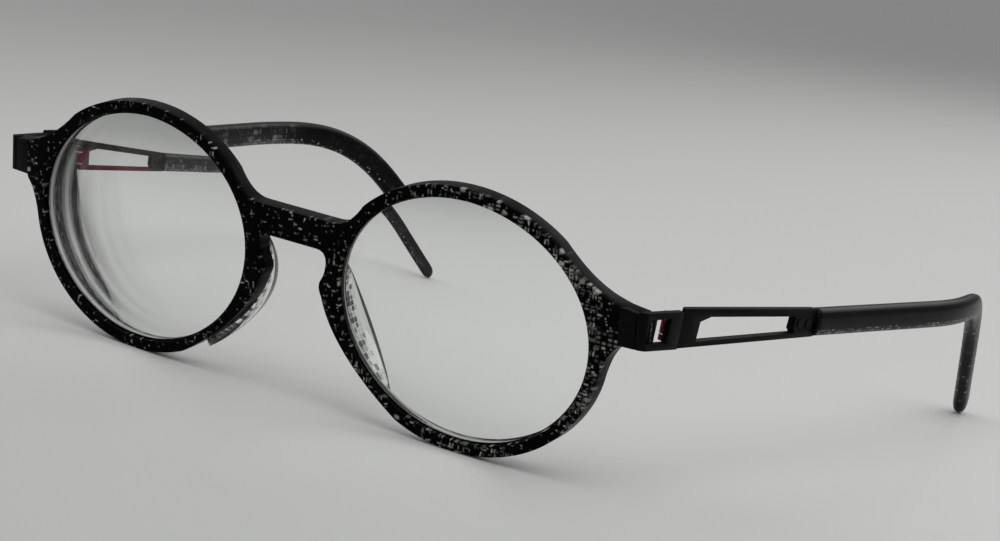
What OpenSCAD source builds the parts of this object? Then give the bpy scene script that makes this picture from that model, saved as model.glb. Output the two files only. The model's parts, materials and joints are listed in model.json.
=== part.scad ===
// Round eyeglasses: a patterned acetate front with two minus lenses and crystal nose pads,
// metal corner brackets that carry the hinges, pierced metal temple arms, and acetate
// temple sleeves pushed over a core wire.
// Millimetres. +X is the wearer's left, +Y runs back along the temples, +Z is up.
// The pieces are drawn around the middle of the bridge with the front upright, and the
// whole is then tipped so that both rims and both temple tips stand on z = 0.

/* [Lens openings] */
// Width of each lens opening
opening_w = 46.4; // [42:0.2:50]
// Height of each lens opening
opening_h = 40.2; // [36:0.2:44]
// How far the middle of the opening lies below the middle of the bridge
opening_drop = 2; // [1:0.1:4]
// Gap between the two openings at the nose
bridge_gap = 19.4; // [17:0.2:23]
// How much fuller the opening is at its foot than at its brow
foot_fullness = 0.023; // [0:0.001:0.03]
// How much the opening leans out towards its outer foot
outward_lean = 0.018; // [0:0.001:0.025]

/* [Lenses] */
// Thickness of the lens at its thinnest
lens_middle_t = 1.4; // [1.2:0.1:2.2]
// Radius of the front surface
lens_front_r = 400; // [200:10:600]
// Radius of the hollow back surface
lens_back_r = 100; // [75:5:140]
// How far the back surface is centred towards the nose
lens_centre_in = 6.5; // [0:0.1:8]
// How far the back surface is centred above the middle of the opening
lens_centre_up = 1.2; // [0:0.1:4]
// How far the front surface lies behind the face of the rim
lens_set_back = 0.35; // [0.2:0.05:0.6]
// Height of the rib round the lens edge
lens_rib_h = 0.6; // [0.4:0.1:0.9]
// Width of that rib, front to back
lens_rib_t = 0.9; // [0.6:0.1:1.2]
// Gap between the lens and its groove
lens_gap = 0.05; // [0.02:0.01:0.1]

/* [Front] */
// Width of the rim around each opening
rim_w = 2.0; // [1.6:0.1:3]
// Thickness of the front, front to back
front_t = 3.2; // [3:0.1:4]
// Radius of the curve of the front, seen from above
front_curve_r = 700; // [350:10:1200]
// Height of the top edge of the bridge
bridge_top_z = 8.3; // [7:0.1:9.5]
// Height of the arch under the bridge
bridge_arch_z = 3.2; // [2:0.1:4.5]
// Half width of the arch under the bridge
arch_half_w = 6.9; // [6.4:0.1:7.4]
// Half width of the waist below the arch
waist_half_w = 5.7; // [5:0.1:6]
// Depth of the waist below the middle of the bridge
waist_drop = 2.6; // [2:0.1:4]
// Height of the top edge of the endpiece
endpiece_top_z = 6.8; // [5.5:0.1:7.5]
// Height of the endpiece, top to bottom
endpiece_h = 6.2; // [5.8:0.1:7]
// Thickness of the tongue that runs back from the endpiece behind the side plate
tongue_w = 1.0; // [0.8:0.1:1.4]
// Height of that tongue
tongue_h = 4.5; // [4:0.1:5]
// Gap between the tongue and the hinge knuckles
tongue_gap = 3.6; // [1:0.1:4.6]

/* [Nose pads] */
// How far the pad stands out behind the front
pad_depth = 5.3; // [3:0.1:6.5]
// Thickness of the pad
pad_w = 2.4; // [2:0.1:2.8]
// Where the pad starts on the rim, as an angle from the outer side of the opening
pad_top_angle = 170; // [165:1:178]
// Where the pad ends on the rim
pad_foot_angle = 237; // [215:1:245]
// Distance from the pad to the edge of the opening
pad_inset = 0.35; // [0.2:0.05:0.6]

/* [Corner brackets] */
// Half width of the front over the corner brackets
corner_x = 65.0; // [63:0.2:70]
// Radius of the bend between the flange and the side plate
corner_round = 1.2; // [0.6:0.1:1.5]
// Width of the bracket's flange on the front
flange_w = 4.2; // [3.6:0.1:5]
// Thickness of the flange
flange_t = 1.0; // [0.8:0.1:1.3]
// Thickness of the side plate
side_t = 1.1; // [0.9:0.1:1.4]
// Length of the side plate, from the corner to the hinge axis
side_len = 9.6; // [9:0.1:12]
// Height of the slot in the side plate
slot_h = 3.9; // [3:0.1:4.2]
// Length of the slot in the side plate
slot_len = 5.6; // [3.6:0.1:6]
// Distance from the corner to the slot
slot_start = 0.9; // [0.8:0.1:2.4]
// Radius of the two bracket screws
bracket_screw_r = 0.6; // [0.5:0.05:0.7]
// Radius of their heads
bracket_screw_head_r = 1.0; // [0.8:0.05:1.2]
// Height of their heads
bracket_screw_head_h = 0.5; // [0.4:0.05:0.7]
// Distance between the two bracket screws
bracket_screw_pitch = 3.0; // [2.6:0.1:3.4]

/* [Hinges] */
// Radius of the hinge knuckles
knuckle_r = 1.45; // [1.3:0.05:1.6]
// Radius of the hinge screw
hinge_screw_r = 0.6; // [0.5:0.05:0.7]
// Radius of the hinge screw's head
hinge_head_r = 1.0; // [0.9:0.05:1.05]
// Height of the hinge screw's head
hinge_head_h = 0.5; // [0.4:0.05:0.7]
// Height of the temple's knuckle
temple_knuckle_h = 2.2; // [1.8:0.1:2.4]
// Thickness of each hinge washer
washer_t = 0.18; // [0.12:0.02:0.24]
// Running gap at each side of a washer
washer_gap = 0.02; // [0.01:0.01:0.04]
// Running gap round the hinge screw
pin_gap = 0.03; // [0.02:0.01:0.06]
// Gap between the bracket and the temple arm at the seam
seam_gap = 0.08; // [0.05:0.01:0.15]
// Width of the slots in the screw heads
driver_slot_w = 0.24; // [0.2:0.02:0.3]

/* [Temple arms] */
// Length of the metal temple arm behind the hinge axis
arm_len = 39; // [32:0.2:46]
// Thickness of the temple arm
arm_t = 1.4; // [1.3:0.1:1.6]
// Height of the temple arm at its front end
arm_front_h = 6.4; // [5.8:0.1:7]
// How far the arm stands above the middle of the bracket
arm_step = 0.3; // [0:0.05:0.5]
// Height of the temple arm at its rear end
arm_rear_h = 4.8; // [4.6:0.1:5.6]
// Drop of the arm's top edge along its length
arm_drop = 1.2; // [0.5:0.1:1.6]
// Outward angle of the temples
splay = 8.6; // [4:0.1:10]
// Downward angle of the temples from the upright front
pitch = 10.6; // [8:0.1:13]
// Height of the bar over the window
window_top_bar = 1.3; // [1:0.1:1.7]
// Height of the bar under the window
window_bottom_bar = 0.9; // [0.7:0.1:1.2]
// Distance from the hinge axis to the window
window_start = 4.8; // [4:0.1:6]
// Length of the plate behind the window
rear_plate_len = 6.2; // [6:0.1:8]
// Radius of the two temple rivets
rivet_r = 0.5; // [0.4:0.05:0.6]
// Radius of the rivet heads
rivet_head_r = 0.75; // [0.7:0.05:1]
// Height of the rivet heads
rivet_head_h = 0.12; // [0.08:0.02:0.2]
// Distance between the two rivets
rivet_pitch = 2.6; // [2.6:0.1:3.2]
// Distance from the rear rivet to the end of the arm
rivet_end = 2.0; // [1.4:0.1:2]

/* [Temple sleeves] */
// Length of the sleeve's straight stretch
sleeve_straight = 53; // [50:0.5:64]
// Length of the stretch that bends over the ear
sleeve_bend = 40.5; // [24:0.5:44]
// Length of the stretch behind the bend
sleeve_tail = 22.5; // [18:0.5:34]
// Downward turn of the tail
tail_turn = 41; // [36:1:50]
// Inward turn of the tail
tail_inward = 24; // [10:0.5:28]
// Distance along the sleeve at which it starts to turn inward
inward_start = 37; // [10:0.5:46]
// Length over which it turns inward
inward_run = 32.5; // [16:0.5:60]
// Thickness of the sleeve
sleeve_w = 3.0; // [2.8:0.1:3.8]
// Height of the sleeve in the middle
sleeve_h = 4.8; // [4.2:0.1:5.4]
// Height of the sleeve near its tip
tip_h = 5.2; // [4.8:0.1:6.5]
// Thickness of the core wire
wire_w = 0.7; // [0.6:0.05:0.8]
// Height of the core wire
wire_h = 1.6; // [1.2:0.1:2]
// Bare end of the sleeve beyond the core wire
wire_end_gap = 8; // [5:0.5:15]
// Gap between the core wire and the sleeve
wire_gap = 0.05; // [0.03:0.01:0.1]

/* [Hidden] */

outline_steps = 96;
curve_steps = 8;
fit = 0.02;
over = 1;
reach = 150;

// The middle of a lens on the curved front, and how far it is turned outward there
lens_x = (bridge_gap + opening_w) / 2;
lens_y = front_depth(lens_x);
wrap = asin(lens_x / front_curve_r);
lens_rib_back = 0.2;
lens_rib_y = lens_set_back + lens_rib_t + lens_rib_back;
opening_bottom_z = -opening_drop - opening_h / 2 * (1 + foot_fullness);
opening_top_z = opening_h / 2 * (1 - foot_fullness) - opening_drop;

// How far the endpiece outline runs on past the corner before the corner block cuts it
far_end = 5;

// How round the corners of the arch and of the waists are
arch_round = 2;
waist_round = 0.6;

// How far the curves of the bridge and the endpiece run before they meet the rim
bridge_top_run = 6;
foot_lean_out = 3.2;
foot_lean_share = 0.6;
endpiece_top_run = 12.4;
endpiece_brow_rise = 0.9;
endpiece_end_fall = 1.6;
endpiece_foot_run = 4.4;

// Angles on the rim at which the bridge and the endpiece run into it
bridge_brow_angle = 140;
bridge_foot_angle = 245;
endpiece_brow_angle = 48;
endpiece_foot_angle = -10;

// The endpiece and the corner where the bracket turns back
endpiece_bottom_z = endpiece_top_z - endpiece_h;
endpiece_mid_z = endpiece_top_z - endpiece_h / 2;
corner_y = front_depth(corner_x);

// Where the tongue starts inside the endpiece, from the corner
tongue_root = 1.4;

// The bracket screws, and the skin of the flange that covers their ends
screw_edge = 1.05;
screw_x = corner_x - flange_w + screw_edge;
flange_skin = 0.3;

// The hinge axis, found from the corner along the side plate
knuckle_skin = 0.75;
axis_in = knuckle_r + knuckle_skin;
side_reach = side_len * cos(pitch);
axis_x = corner_x - axis_in * cos(splay) + side_reach * sin(splay);
axis_y = corner_y + axis_in * sin(splay) + side_reach * cos(splay);
axis_z = endpiece_mid_z - side_len * sin(pitch);
knuckle_clear = 0.15;
knuckle_inset = 0.8;
washer_room = washer_t + 2 * washer_gap;
washer_inset = 0.05;
side_h = endpiece_h * cos(pitch);
upper_knuckle_z = side_h / 2 - knuckle_inset;
lower_knuckle_z = -upper_knuckle_z;
temple_knuckle_top = temple_knuckle_h / 2;

// How finely the pads are drawn, and their height where they start and end
pad_sides = 16;
pad_rings = 26;
pad_edge = 0.15;

// The temple arm, in the temple's own frame: origin on the hinge axis, Y along the temple
arm_mid_in = axis_in - arm_t / 2;
arm_top_front = arm_front_h / 2 + arm_step;
arm_top_rear = arm_top_front - arm_drop;
arm_bottom_front = arm_top_front - arm_front_h;
arm_bottom_rear = arm_top_rear - arm_rear_h;
window_front_run = 3;
window_front_drop = 0.8;
window_rear_rise = 0.6;
window_rear_run = 0.5;
window_lean = 0.2;
tang_wall = 0.8;
tang_len = rear_plate_len - tang_wall;
tang_h = arm_rear_h / 2;

// The sleeve's middle line, as points that follow the heading at each
sleeve_len = sleeve_straight + sleeve_bend + sleeve_tail;
sleeve_rings = 48;
sleeve_sides = 20;
wire_sides = 8;
wire_root = 1;
wire_end_room = 0.3;
ring_step = sleeve_len / sleeve_rings;
sleeve_start = [arm_mid_in, arm_len, arm_top_rear - arm_rear_h / 2];
sleeve_line = [
    for (i = 0, p = sleeve_start; i <= sleeve_rings;
        p = p + ring_step * heading((i + 0.5) * ring_step), i = i + 1) p
];
tip_round = sleeve_w * 1.3;
tip_flat = 0.004;

// Tipping the upright front so that rims and tips stand on the table
rim_foot = [lens_x, lens_y, opening_bottom_z - rim_w];
tip_foot = temple_to_front(sleeve_line[sleeve_rings]) - [0, 0, sleeve_w / 4];
rest_tip = atan((rim_foot[2] - tip_foot[2]) / (tip_foot[1] - rim_foot[1]));
rest_lift = -(rim_foot[1] * sin(rest_tip) + rim_foot[2] * cos(rest_tip));
brow_y = lens_y * cos(rest_tip) - (opening_top_z + rim_w) * sin(rest_tip);
tips_y = tip_foot[1] * cos(rest_tip) - tip_foot[2] * sin(rest_tip);
middle_y = (brow_y + tips_y) / 2;

function front_depth(x) = front_curve_r - sqrt(front_curve_r ^ 2 - x ^ 2);

// A point of the opening's edge, around the middle of the opening
function edge_point(angle) =
    let (fullness = 1 - foot_fullness * sin(angle) ^ 2 * sin(angle) - outward_lean * sin(2 * angle))
    fullness * [opening_w / 2 * cos(angle), opening_h / 2 * sin(angle)];

function edge_outward(angle) =
    let (along = edge_point(angle + 1) - edge_point(angle - 1))
    [along[1], -along[0]] / norm(along);

function opening_point(angle, grow) = edge_point(angle) + grow * edge_outward(angle);

function rim_point(angle) = [lens_x, -opening_drop] + opening_point(angle, rim_w);

// A curve from a to c that leans towards b
function curve(a, b, c) = [
    for (i = [0:curve_steps])
        let (t = i / curve_steps)
        (1 - t) ^ 2 * a + 2 * t * (1 - t) * b + t ^ 2 * c
];

// Runs smoothly from 0 to 1 as s goes from a to b
function ease(s, a, b) = let (t = min(max((s - a) / (b - a), 0), 1)) t * t * (3 - 2 * t);

function bend_start() = sleeve_straight;
function bend_end() = sleeve_straight + sleeve_bend;
function droop(s) = tail_turn * ease(s, bend_start(), bend_end());
function inward(s) = tail_inward * ease(s, inward_start, inward_start + inward_run);
function heading(s) = [
    -cos(droop(s)) * sin(inward(s)),
    cos(droop(s)) * cos(inward(s)),
    -sin(droop(s))
];
function across(s) = [cos(inward(s)), sin(inward(s)), 0];
function upward(s) = cross(across(s), heading(s));

function temple_to_front(p) =
    let (
        y = p[1] * cos(pitch) + p[2] * sin(pitch),
        z = p[2] * cos(pitch) - p[1] * sin(pitch)
    )
    [
        axis_x + p[0] * cos(splay) + y * sin(splay),
        axis_y - p[0] * sin(splay) + y * cos(splay),
        axis_z + z
    ];

// One ring of a swept piece: w wide, h high, squared off more as power grows
function ring(s, middle, w, h, sides, power) = [
    for (k = [0:sides - 1])
        let (
            c = cos(360 * k / sides),
            d = sin(360 * k / sides),
            x = sign(c) * abs(c) ^ (2 / power) * w / 2,
            z = sign(d) * abs(d) ^ (2 / power) * h / 2
        )
        middle + x * across(s) + z * upward(s)
];

function sleeve_height(s) =
    let (
        front = arm_rear_h + (sleeve_h - arm_rear_h) * ease(s, 0, sleeve_straight / 2),
        tail = (tip_h - sleeve_h) * ease(s, bend_start(), bend_end() + sleeve_tail * 0.6)
    )
    front + tail;

function cap(s) =
    let (u = max(0, (s - (sleeve_len - tip_round)) / tip_round))
    sqrt(max(1 - u ^ 2, tip_flat));

// The middle line at any distance along it
function line_at(s) =
    let (k = min(floor(s / ring_step), sleeve_rings - 1), t = s / ring_step - k)
    sleeve_line[k] * (1 - t) + sleeve_line[k + 1] * t;

module swept(rings) {
    sides = len(rings[0]);
    last = len(rings) - 1;
    walls = [
        for (i = [0:last - 1], k = [0:sides - 1])
            let (n = (k + 1) % sides)
            each [
                [i * sides + k, (i + 1) * sides + n, (i + 1) * sides + k],
                [i * sides + k, i * sides + n, (i + 1) * sides + n]
            ]
    ];
    start_face = [for (k = [sides - 1:-1:0]) k];
    end_face = [for (k = [0:sides - 1]) last * sides + k];
    polyhedron([for (r = rings) each r], concat([start_face, end_face], walls));
}

// Stands the upright front on the table
module resting() {
    translate([0, -middle_y, rest_lift])
        rotate([rest_tip, 0, 0])
            children();
}

// Draws a left-hand piece on either side
module on_side(side) {
    resting()
        if (side == "left") children();
        else mirror([1, 0, 0]) children();
}

// The frame of a left-hand lens: its own plane, back along +Y
module lens_frame() {
    translate([lens_x, lens_y, -opening_drop])
        rotate([0, 0, wrap])
            children();
}

// The upright frame at the hinge axis, turned outward with the temple
module side_frame() {
    translate([axis_x, axis_y, 0])
        rotate([0, 0, -splay])
            children();
}

// The frame of a left-hand temple: origin on the hinge axis, back along +Y
module temple_frame() {
    side_frame()
        translate([0, 0, axis_z])
            rotate([-pitch, 0, 0])
                children();
}

// A flat outline drawn in X and Z and carried back from y to y + depth
module plate(y, depth) {
    translate([0, y + depth, 0])
        rotate([90, 0, 0])
            linear_extrude(depth)
                children();
}

// An outline drawn in Y and Z and carried across from x to x + width
module side_plate(x, width) {
    translate([x, 0, 0])
        rotate([90, 0, 90])
            linear_extrude(width)
                children();
}

module opening_outline(grow) {
    polygon([for (i = [0:outline_steps - 1]) opening_point(360 * i / outline_steps, grow)]);
}

// The slice of the curved front from depth a to depth b behind its face
module front_band(a, b) {
    translate([0, front_curve_r, -reach / 2])
        difference() {
            cylinder(h = reach, r = front_curve_r - a, $fn = 720);
            translate([0, 0, -over])
                cylinder(h = reach + 2 * over, r = front_curve_r - b, $fn = 720);
        }
}

// Left half of the bridge, with its arch and the wide nasal side of the rim
module nasal_outline() {
    brow = rim_point(bridge_brow_angle);
    foot = rim_point(bridge_foot_angle);
    waist = [waist_half_w, -waist_drop];
    under_waist = waist + [waist_round, -arch_round];
    over_waist = waist + [waist_round / 2, waist_round];
    waist_nose = waist - [waist_round / 2, waist_round];
    brow_lean = [brow[0] - bridge_top_run / 2.3, bridge_top_z];
    foot_lean = [waist_half_w + foot_lean_out, foot[1] * foot_lean_share];
    arch_lean = [arch_half_w, bridge_arch_z - 2 * arch_round];
    arch_side = [arch_half_w, bridge_arch_z - arch_round];
    arch_end = [arch_half_w - arch_round, bridge_arch_z];
    polygon(concat(
        [[-over, bridge_top_z]],
        curve([brow[0] - bridge_top_run, bridge_top_z], brow_lean, brow),
        [[lens_x, opening_top_z / 2], [lens_x, opening_bottom_z / 2]],
        curve(foot, foot_lean, under_waist),
        curve(under_waist, waist_nose, over_waist),
        curve(over_waist, arch_lean, arch_side),
        curve(arch_side, [arch_half_w, bridge_arch_z], arch_end),
        [[-over, bridge_arch_z]]
    ));
}

// Left endpiece, blended into the rim above and below
module endpiece_outline() {
    above = rim_point(endpiece_brow_angle);
    below = rim_point(endpiece_foot_angle);
    far_x = corner_x + far_end;
    top_lean = [above[0] + endpiece_top_run / 2, endpiece_top_z + endpiece_brow_rise];
    top_end = [above[0] + endpiece_top_run, endpiece_top_z];
    foot_end = [below[0] + endpiece_foot_run, endpiece_bottom_z];
    foot_lean = [below[0] + endpiece_foot_run / 3, endpiece_bottom_z];
    polygon(concat(
        curve(above, top_lean, top_end),
        [[far_x, endpiece_top_z - endpiece_end_fall], [far_x, endpiece_bottom_z]],
        curve(foot_end, foot_lean, below),
        [[lens_x, 0]]
    ));
}

module half_outline() {
    translate([lens_x, -opening_drop])
        opening_outline(rim_w);
    nasal_outline();
    endpiece_outline();
}

// The block that lies further out than x, as high as the endpiece
module outer_block(x, z_grow) {
    side_frame()
        translate([x, -reach / 2, endpiece_bottom_z - z_grow])
            cube([reach, reach, endpiece_h + 2 * z_grow]);
}

// What is cut off the flange's top, where the endpiece falls towards the corner
module end_cutter() {
    far_x = corner_x + far_end;
    fall_run = far_x - rim_point(endpiece_brow_angle)[0] - endpiece_top_run;
    plate(-reach / 2, reach)
        polygon([
            [far_x - 2 * fall_run, endpiece_top_z + endpiece_end_fall],
            [far_x, endpiece_top_z - endpiece_end_fall],
            [far_x, reach],
            [far_x - 2 * fall_run, reach]
        ]);
}

// The tongue behind the side plate, which shows in the plate's slot
module endpiece_tongue() {
    temple_frame()
        translate([axis_in - side_t - fit - tongue_w, tongue_root - side_len, -tongue_h / 2])
            cube([tongue_w, side_len - tongue_root - knuckle_r - tongue_gap, tongue_h]);
}

module front_half() {
    difference() {
        union() {
            intersection() {
                plate(-over, front_depth(corner_x + far_end) + front_t + 2 * over)
                    half_outline();
                front_band(0, front_t);
            }
            endpiece_tongue();
        }
        lens_frame() {
            plate(-reach / 2, reach)
                opening_outline(0);
            plate(lens_rib_y - lens_gap, lens_rib_t + 2 * lens_gap)
                opening_outline(lens_rib_h);
        }
        outer_block(axis_in - side_t - fit, over);
        intersection() {
            outer_block(axis_in - flange_w - fit, over);
            front_band(-over, flange_t + fit);
        }
        bracket_screw_places()
            cylinder(h = reach, r = bracket_screw_r + fit, center = true, $fn = 32);
    }
}

module front_frame() {
    color([0.05, 0.05, 0.055])
        resting() {
            front_half();
            mirror([1, 0, 0])
                front_half();
        }
}

module lens(side) {
    color([0.86, 0.9, 0.88, 0.35])
        on_side(side)
            lens_frame()
                difference() {
                    intersection() {
                        union() {
                            plate(-reach / 2, reach)
                                opening_outline(-lens_gap);
                            plate(lens_rib_y, lens_rib_t)
                                opening_outline(lens_rib_h - lens_gap);
                        }
                        translate([0, lens_set_back + lens_front_r, 0])
                            sphere(r = lens_front_r, $fn = 360);
                    }
                    translate([-lens_centre_in, lens_set_back + lens_middle_t + lens_back_r, lens_centre_up])
                        sphere(r = lens_back_r, $fn = 360);
                }
}

// How far the pad stands out behind the front, from its top to its foot
function pad_height(t) = pad_edge + pad_depth * sin(180 * t) ^ 0.7;

// One ring of the pad: a rounded fin on the back of the front, beside the opening
function pad_ring(t) =
    let (
        angle = pad_top_angle + t * (pad_foot_angle - pad_top_angle),
        middle = [lens_x, -opening_drop] + opening_point(angle, pad_w / 2 + pad_inset),
        out = edge_outward(angle)
    )
    [
        for (k = [0:pad_sides])
            let (
                c = cos(180 * k / pad_sides),
                d = abs(sin(180 * k / pad_sides)),
                place = middle - sign(c) * abs(c) ^ 0.8 * pad_w / 2 * out,
                back = front_depth(place[0]) + front_t + fit
            )
            [place[0], back + d ^ 0.9 * pad_height(t), place[1]]
    ];

// A clear fin behind the nasal side of the rim
module nose_pad(side) {
    color([0.82, 0.84, 0.82, 0.6])
        on_side(side)
            swept([for (i = [0:pad_rings]) pad_ring(i / pad_rings)]);
}

// The two screws go from the back of the endpiece into the flange
module bracket_screw_places() {
    for (way = [-1, 1])
        translate([screw_x, front_depth(screw_x), endpiece_mid_z + way * bracket_screw_pitch / 2])
            rotate([90, 0, asin(screw_x / front_curve_r)])
                children();
}

module bracket_screws(side) {
    seat = front_t + fit;
    head_end = seat + bracket_screw_head_h;
    slot_reach = 2 * (bracket_screw_head_r + over);
    color([0.45, 0.45, 0.47])
        on_side(side)
            bracket_screw_places()
                difference() {
                    union() {
                        translate([0, 0, -head_end])
                            cylinder(h = head_end - flange_skin, r = bracket_screw_r, $fn = 32);
                        translate([0, 0, -head_end])
                            cylinder(h = bracket_screw_head_h, r = bracket_screw_head_r, $fn = 32);
                    }
                    translate([-bracket_screw_head_r - over, -driver_slot_w / 2, -head_end - over])
                        cube([slot_reach, driver_slot_w, over + bracket_screw_head_h / 2]);
                }
}

// What is cut off to round the bend between the flange and the side plate
module bend_cutter() {
    turn = splay + asin(corner_x / front_curve_r);
    behind = corner_round * (1 / cos(turn) - tan(turn));
    side_frame()
        translate([axis_in - corner_round, behind - side_reach, -reach / 2])
            difference() {
                translate([-corner_round * sin(turn), -behind - corner_round, 0])
                    cube([2 * corner_round, behind + corner_round, reach]);
                cylinder(h = reach, r = corner_round, $fn = 64);
            }
}

module knuckle(z, top) {
    translate([0, 0, z])
        cylinder(h = top - z, r = knuckle_r, $fn = 48);
}

module knuckle_room(z, top) {
    translate([0, 0, z])
        cylinder(h = top - z, r = knuckle_r + knuckle_clear, $fn = 48);
}

module corner_bracket(side) {
    color([0.09, 0.07, 0.07])
        on_side(side)
            difference() {
                union() {
                    difference() {
                        intersection() {
                            outer_block(axis_in - flange_w, 0);
                            front_band(0, flange_t);
                            side_frame()
                                translate([-reach / 2, -reach / 2, -reach / 2])
                                    cube([reach / 2 + axis_in, reach, reach]);
                        }
                        end_cutter();
                    }
                    difference() {
                        temple_frame()
                            translate([axis_in - side_t, -side_len - flange_w, -side_h / 2])
                                cube([side_t, side_len + flange_w, side_h]);
                        front_band(-reach / 2, 0);
                    }
                    temple_frame() {
                        knuckle(lower_knuckle_z, -temple_knuckle_top - washer_room);
                        knuckle(temple_knuckle_top + washer_room, upper_knuckle_z);
                    }
                }
                temple_frame() {
                    knuckle_room(-temple_knuckle_top - washer_room, temple_knuckle_top + washer_room);
                    translate([axis_in - side_t - over, slot_start - side_len, -slot_h / 2])
                        cube([side_t + 2 * over, slot_len, slot_h]);
                    cylinder(h = endpiece_h + over, r = hinge_screw_r + pin_gap, center = true, $fn = 48);
                    translate([0, 0, upper_knuckle_z - hinge_head_h])
                        cylinder(h = hinge_head_h + over, r = hinge_head_r + pin_gap, $fn = 48);
                }
                bend_cutter();
                bracket_screw_places()
                    translate([0, 0, -flange_t - over])
                        cylinder(h = flange_t + over - flange_skin, r = bracket_screw_r + fit, $fn = 32);
            }
}

module hinge_screw(side) {
    color([0.5, 0.5, 0.52])
        on_side(side)
            temple_frame()
                difference() {
                    union() {
                        translate([0, 0, lower_knuckle_z])
                            cylinder(h = upper_knuckle_z - lower_knuckle_z, r = hinge_screw_r, $fn = 48);
                        translate([0, 0, upper_knuckle_z - hinge_head_h])
                            cylinder(h = hinge_head_h, r = hinge_head_r, $fn = 48);
                    }
                    translate([0, 0, upper_knuckle_z - hinge_head_h / 2 + over / 2])
                        cube([2 * (hinge_head_r + over), driver_slot_w, over], center = true);
                }
}

module hinge_washers(side) {
    color([0.85, 0.85, 0.82])
        on_side(side)
            temple_frame()
                for (z = [-temple_knuckle_top - washer_gap - washer_t, temple_knuckle_top + washer_gap])
                    translate([0, 0, z])
                        difference() {
                            cylinder(h = washer_t, r = knuckle_r - washer_inset, $fn = 48);
                            translate([0, 0, -over])
                                cylinder(h = washer_t + 2 * over, r = hinge_screw_r + pin_gap, $fn = 48);
                        }
}

function arm_top(y) = arm_top_front + (arm_top_rear - arm_top_front) * y / arm_len;
function arm_bottom(y) = arm_bottom_front + (arm_bottom_rear - arm_bottom_front) * y / arm_len;

module arm_outline() {
    polygon([
        [seam_gap, arm_bottom_front],
        [seam_gap, arm_top_front],
        [arm_len, arm_top_rear],
        [arm_len, arm_bottom_rear]
    ]);
}

module window_outline() {
    window_end = arm_len - rear_plate_len;
    corner = window_start + window_front_run;
    polygon([
        [window_start, arm_bottom(window_start) + window_bottom_bar],
        [window_start + window_lean, arm_top(window_start) - window_top_bar - window_front_drop],
        [corner, arm_top(corner) - window_top_bar],
        [window_end, arm_top(window_end) - window_top_bar],
        [window_end - window_lean, arm_bottom(window_end) + window_bottom_bar + window_rear_rise],
        [window_end + window_rear_run, arm_bottom(window_end) + window_bottom_bar]
    ]);
}

// The middle of the arm's rear end, where the sleeve starts
module arm_end() {
    translate(sleeve_start)
        children();
}

module rivet_places() {
    arm_end()
        for (y = [rivet_end, rivet_end + rivet_pitch])
            translate([0, -y, 0])
                rotate([0, 90, 0])
                    children();
}

module temple_arm(side) {
    color([0.1, 0.08, 0.085])
        on_side(side)
            temple_frame()
                difference() {
                    union() {
                        difference() {
                            side_plate(axis_in - arm_t, arm_t)
                                difference() {
                                    arm_outline();
                                    window_outline();
                                }
                            knuckle_room(-arm_front_h, -temple_knuckle_top);
                            knuckle_room(temple_knuckle_top, arm_front_h);
                        }
                        knuckle(-temple_knuckle_top, temple_knuckle_top);
                    }
                    cylinder(h = arm_front_h, r = hinge_screw_r + pin_gap, center = true, $fn = 48);
                    arm_end()
                        translate([-wire_w / 2 - fit, -tang_len - fit, -tang_h / 2 - fit])
                            cube([wire_w + 2 * fit, tang_len + over, tang_h + 2 * fit]);
                    rivet_places()
                        cylinder(h = arm_t + over, r = rivet_r + fit, center = true, $fn = 32);
                }
}

module temple_rivets(side) {
    color([0.3, 0.12, 0.13])
        on_side(side)
            temple_frame()
                rivet_places() {
                    cylinder(h = arm_t + 2 * fit, r = rivet_r, center = true, $fn = 32);
                    for (way = [-1, 1])
                        translate([0, 0, way * (arm_t + rivet_head_h + fit) / 2])
                            cylinder(h = rivet_head_h, r = rivet_head_r, center = true, $fn = 32);
                }
}

// The wire's rings, grown by a gap where they cut the sleeve
function wire_rings(grow, from, to) =
    let (count = ceil((to - from) / ring_step))
    [
        for (i = [0:count])
            let (s = from + (to - from) * i / count)
            ring(max(s, 0), s < 0 ? sleeve_start + s * heading(0) : line_at(s),
                wire_w + 2 * grow, wire_h + 2 * grow, wire_sides, 3)
    ];

module core_wire(side) {
    color([0.62, 0.62, 0.64])
        on_side(side)
            temple_frame()
                difference() {
                    union() {
                        arm_end()
                            translate([-wire_w / 2, -tang_len, -tang_h / 2])
                                cube([wire_w, tang_len - fit, tang_h]);
                        swept(wire_rings(0, -wire_root, sleeve_len - wire_end_gap));
                    }
                    rivet_places()
                        cylinder(h = arm_t + over, r = rivet_r + fit, center = true, $fn = 32);
                }
}

module temple_sleeve(side) {
    color([0.06, 0.06, 0.065])
        on_side(side)
            temple_frame()
                difference() {
                    swept([
                        for (i = [0:sleeve_rings])
                            let (s = i * ring_step, squash = cap(s))
                            ring(s, line_at(s), sleeve_w * squash, sleeve_height(s) * squash,
                                sleeve_sides, 2.6)
                    ]);
                    swept(wire_rings(wire_gap, -wire_root, sleeve_len - wire_end_gap + wire_end_room));
                }
}

front_frame();
lens("left");  // left_lens
lens("right");  // right_lens
nose_pad("left");  // left_nose_pad
nose_pad("right");  // right_nose_pad
corner_bracket("left");  // left_corner_bracket
corner_bracket("right");  // right_corner_bracket
bracket_screws("left");  // left_bracket_screws
bracket_screws("right");  // right_bracket_screws
hinge_screw("left");  // left_hinge_screw
hinge_screw("right");  // right_hinge_screw
hinge_washers("left");  // left_hinge_washers
hinge_washers("right");  // right_hinge_washers
temple_arm("left");  // left_temple_arm
temple_arm("right");  // right_temple_arm
temple_rivets("left");  // left_temple_rivets
temple_rivets("right");  // right_temple_rivets
core_wire("left");  // left_core_wire
core_wire("right");  // right_core_wire
temple_sleeve("left");  // left_temple_sleeve
temple_sleeve("right");  // right_temple_sleeve
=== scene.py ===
import json
import math

import bmesh
import bpy
from mathutils import Matrix, Vector


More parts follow.
